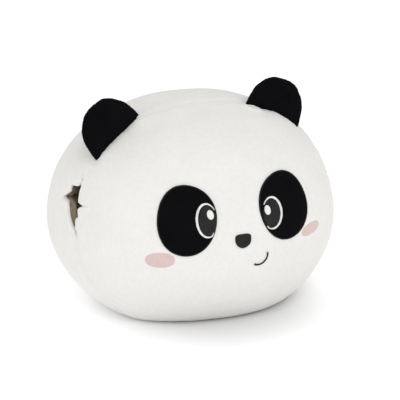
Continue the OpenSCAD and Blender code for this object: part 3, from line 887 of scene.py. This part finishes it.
def build_eye(side):
    """A patch with its edging, and the iris, outline and glint embroidered on it."""
    word = "right" if side < 0 else "left"
    middle = centre_of("eye_patch_" + word)
    outline = patch_outline(side)
    patch = face_disc(f"eye_patch_{word}_velour", middle, outline, PATCH_HIGH, black_pile)
    sewn(patch, "cushion", "black_velour", "eye_patch_" + word)
    edging = satin_band(f"eye_patch_{word}_edging", np.array(middle) + patch_outline(side, 0.5 * MM),
                        1.7 * MM, 0.1 * MM, 1.5 * MM, black_thread, 0.8 * MM, True)
    sewn(edging, "cushion", "black_velour")
    iris_middle = np.array(IRIS_PLACE[side])
    shape = iris_middle + oval(IRIS_HALF[side], side * math.radians(4))
    shape = inside_patch(side, shape, 1.1 * MM) - iris_middle
    iris = satin_fill(f"iris_{word}_stitches", iris_middle, shape, math.radians(90 - 8 * side),
                      PATCH_HIGH, PATCH_HIGH + 0.7 * MM, grey_thread)
    sewn(iris, "cushion", "grey_thread", "iris_" + word)
    turn = np.radians(np.linspace(-128, 140, 160))
    share = np.linspace(-1, 1, 160)
    width = 2.8 * MM * (1 - 0.72 * np.abs(share) ** 2.2)
    line = iris_middle + np.stack([side * (IRIS_HALF[side][0] + 0.4 * MM + width / 2) * np.cos(turn),
                                   (IRIS_HALF[side][1] + 0.5 * MM + width / 2) * np.sin(turn)], -1)
    line = inside_patch(side, line, 1.6 * MM)
    ring = satin_band(f"iris_outline_{word}_stitches", line, width,
                      PATCH_HIGH, PATCH_HIGH + 0.9 * MM, white_thread)
    sewn(ring, "cushion", "white_thread", "iris_outline_" + word)
    glint = satin_fill(f"eye_glint_{word}_stitches", GLINT_PLACE[side], oval(GLINT_HALF, 0.2),
                       math.radians(20), PATCH_HIGH + 0.6 * MM, PATCH_HIGH + 1.3 * MM, white_thread, 0.5 * MM)
    sewn(glint, "cushion", "white_thread", "eye_glint_" + word)


NOSE_HALF, NOSE_RISE, NOSE_DROP = 9.8 * MM, 5.7 * MM, 10.7 * MM


def nose_outline():
    """A flat top with round corners over a half oval."""
    turn = np.linspace(0, 2 * np.pi, 240, endpoint=False)
    power = np.where(np.sin(turn) > 0, 3.4, 2)
    height = np.where(np.sin(turn) > 0, NOSE_RISE, NOSE_DROP)
    x, z = NOSE_HALF * squared(np.cos(turn), power), height * squared(np.sin(turn), power)
    return np.stack([x, z + 2.5 * MM], -1)


CHEEK_HALF = {-1: (16.4 * MM, 9.9 * MM), 1: (15.6 * MM, 7.6 * MM)}
CHEEK_LEAN = {-1: 0, 1: math.radians(8)}
for side in (-1, 1):
    build_eye(side)
    word = "right" if side < 0 else "left"
    outline = oval(CHEEK_HALF[side], CHEEK_LEAN[side], 2.2)
    cheek = face_disc(f"cheek_{word}_pile", centre_of("cheek_" + word), outline, 0.45 * MM, pink_pile, 5)
    sewn(cheek, "cushion", "pink_pile", "cheek_" + word)

nose = satin_fill("nose_stitches", centre_of("nose"), nose_outline(), math.radians(90),
                  0.1 * MM, 1.9 * MM, grey_thread, 0.7 * MM)
sewn(nose, "cushion", "grey_thread", "nose")
mouth_turn = np.radians(np.linspace(-118, 12, 60))
mouth_arc = np.stack([np.cos(mouth_turn), np.sin(mouth_turn)], -1)
mouth_line = np.array([21.5 * MM, 90.5 * MM]) + 11.2 * MM * mouth_arc
# the thread is thicker where the smile starts
mouth_width = 1.9 * MM + 0.9 * MM * bell(np.arange(60), 4)
mouth = satin_band("mouth_stitches", mouth_line, mouth_width, 0.1 * MM, 1.3 * MM, grey_thread, 0.7 * MM)
sewn(mouth, "cushion", "grey_thread", "mouth")

# ---- seam stitches and label ----

STITCH_PITCH, STITCH_LENGTH, STITCH_RADIUS = 3.6 * MM, 2.4 * MM, 0.22 * MM
# Distance of the seam from its middle that turns lengths along it into angles
SEAM_RADIUS = 160 * MM
# Seam angle of an opening's middle, and how much of the seam the opening takes up on either side of it
OPENING_ANGLE, OPENING_GAP = math.asin(36 * MM / HALF_WIDTH), math.radians(14)


def seam_stitches():
    points, faces = [], []
    for start in np.arange(0, 2 * np.pi, STITCH_PITCH / SEAM_RADIUS):
        from_left, from_right = turn_between(start, OPENING_ANGLE), turn_between(start, np.pi - OPENING_ANGLE)
        if min(abs(from_left), abs(from_right)) < OPENING_GAP:
            continue
        angles = start + np.linspace(0, STITCH_LENGTH / SEAM_RADIUS, 5)
        base = cast(CORE, seam_direction(angles))
        sag = np.array([-0.9, -0.3, -0.15, -0.3, -0.9]) * MM
        path = soft_floor(raised(base, sag))
        ring = tube(path, STITCH_RADIUS, 5)
        faces.append(grid_faces(5, 5, wrap_cols=True) + sum(len(p) for p in points))
        points.append(ring.reshape(-1, 3))
    return add_mesh("main_seam_stitches", np.concatenate(points), np.concatenate(faces), white_thread)


sewn(seam_stitches(), "cushion", "white_thread", "main_seam_thread")


# Seam angles of the closing stitches and of the care label
CLOSING_ANGLES = np.radians(np.linspace(340, 356, 11))
LABEL_ANGLE = math.radians(333)


def closing_stitches():
    """Ladder stitches across the seam, low on the left side."""
    points, faces = [], []
    for angle in CLOSING_ANGLES:
        spot = cast(CORE, seam_direction(np.array([angle])))[0]
        path = []
        for share in np.linspace(-1, 1, 7):
            place = spot + share * 3 * MM * SEAM_FRONT + share * 0.6 * MM * SEAM_UP
            place = cast(CORE, unit(place - CORE)[None])[0]
            path.append(raised(place[None], np.array([(0.35 - 1.3 * share**4) * MM]))[0])
        ring = tube(np.array(path), 0.35 * MM, 6)
        faces.append(grid_faces(7, 6, wrap_cols=True) + sum(len(p) for p in points))
        points.append(ring.reshape(-1, 3))
    return add_mesh("closing_ladder_stitches", np.concatenate(points), np.concatenate(faces), white_thread)


sewn(closing_stitches(), "cushion", "white_thread", "closing_stitches")


def care_label():
    """A blank tape folded in half, with both ends caught in the seam."""
    spot = cast(CORE, seam_direction(np.array([LABEL_ANGLE])))[0]
    normal = outward(spot)
    back = unit(-SEAM_FRONT - normal * (-SEAM_FRONT @ normal))
    across = np.cross(normal, back)
    length, half_width = 31 * MM, 11 * MM
    there = np.linspace(-3 * MM, length, 30)
    run = np.concatenate([there, there[::-1]])
    height = np.concatenate([np.full(30, 0.55), np.full(30, 1.25)]) * MM
    fold = np.concatenate([np.linspace(0, 1, 30) ** 12, np.linspace(1, 0, 30) ** 12])
    height = height * (1 - fold) + 0.9 * MM * fold
    curl = 2.0 * MM * np.clip(run / length, 0, 1) ** 2
    rows = []
    for share in np.linspace(-1, 1, 9):
        place = spot + share * half_width * across + run[:, None] * back
        rows.append(place + (height + curl * (0.6 + 0.4 * share) - 0.4 * MM * share**2)[:, None] * normal)
    return add_grid("care_label_tape", np.stack(rows), label_tape)


label = sewn(care_label(), "cushion", "label_tape", "care_label")

# ---- stage, light and camera ----

floor_material, floor_shader, floor_tree = new_material("pale_floor", (0.8, 0.8, 0.8), 0.9, specular=0.0)
floor_shader.inputs["Emission Color"].default_value = (1, 1, 1, 1)
# painted light: the sweep glows softly away from the object, so it stays white to the edge of the picture; the
# glow fades out near the object, which shapes the edge of the soft shadow there, and it also lights the
# cushion's underside
place = floor_tree.nodes.new("ShaderNodeTexCoord")
away = floor_tree.nodes.new("ShaderNodeVectorMath")
away.operation = "DISTANCE"
away.inputs[1].default_value = (0.005, -0.06, 0)
painted_glow = floor_tree.nodes.new("ShaderNodeMapRange")
painted_glow.interpolation_type = "SMOOTHSTEP"
painted_glow.inputs["From Min"].default_value = 0.06
painted_glow.inputs["From Max"].default_value = 0.18
painted_glow.inputs["To Min"].default_value = 0
painted_glow.inputs["To Max"].default_value = 0.38
floor_tree.links.new(place.outputs["Object"], away.inputs[0])
floor_tree.links.new(away.outputs["Value"], painted_glow.inputs["Value"])
floor_tree.links.new(painted_glow.outputs["Result"], floor_shader.inputs["Emission Strength"])
mesh = bpy.data.meshes.new("floor")
mesh.from_pydata([(-8, -8, 0), (8, -8, 0), (8, 8, 0), (-8, 8, 0)], [], [(0, 1, 2, 3)])
mesh.materials.append(floor_material)
floor = bpy.data.objects.new("floor", mesh)
bpy.context.scene.collection.objects.link(floor)

world = bpy.data.worlds.new("studio")
world.use_nodes = True
world.node_tree.nodes["Background"].inputs["Color"].default_value = (1, 1, 1, 1)
world.node_tree.nodes["Background"].inputs["Strength"].default_value = 0.75
bpy.context.scene.world = world


BODY_MIDDLE = Vector((0, 0, EQUATOR))
SOFTBOX_SIZE = 2.2


def soft_light(name, place, power):
    """A square softbox that faces the object."""
    lamp = bpy.data.lights.new(name, "AREA")
    lamp.shape = "SQUARE"
    lamp.size = SOFTBOX_SIZE
    lamp.energy = power
    obj = bpy.data.objects.new(name, lamp)
    obj.location = place
    obj.rotation_euler = (BODY_MIDDLE - Vector(place)).to_track_quat("-Z", "Y").to_euler()
    bpy.context.scene.collection.objects.link(obj)


soft_light("key", (-0.3, -2.5, 2.8), 35)
soft_light("side", (-2.9, -0.2, 1.0), 4.6)
soft_light("fill", (1.4, -2.8, 0.7), 1.2)

AZIMUTH, ELEVATION, DISTANCE = math.radians(-22.45), math.radians(18.9), 2.38
level_share = math.cos(ELEVATION)
to_camera = Vector((math.sin(AZIMUTH) * level_share, -math.cos(AZIMUTH) * level_share, math.sin(ELEVATION)))
camera_data = bpy.data.cameras.new("camera")
camera_data.sensor_width = 36
camera_data.lens = 179.2
camera_data.shift_x = 0.02325
camera_data.shift_y = 0.01615
camera = bpy.data.objects.new("camera", camera_data)
camera.location = BODY_MIDDLE + to_camera * DISTANCE
camera.rotation_euler = (-to_camera).to_track_quat("-Z", "Y").to_euler()
bpy.context.scene.collection.objects.link(camera)
bpy.context.scene.camera = camera
bpy.context.scene.view_settings.view_transform = "Standard"
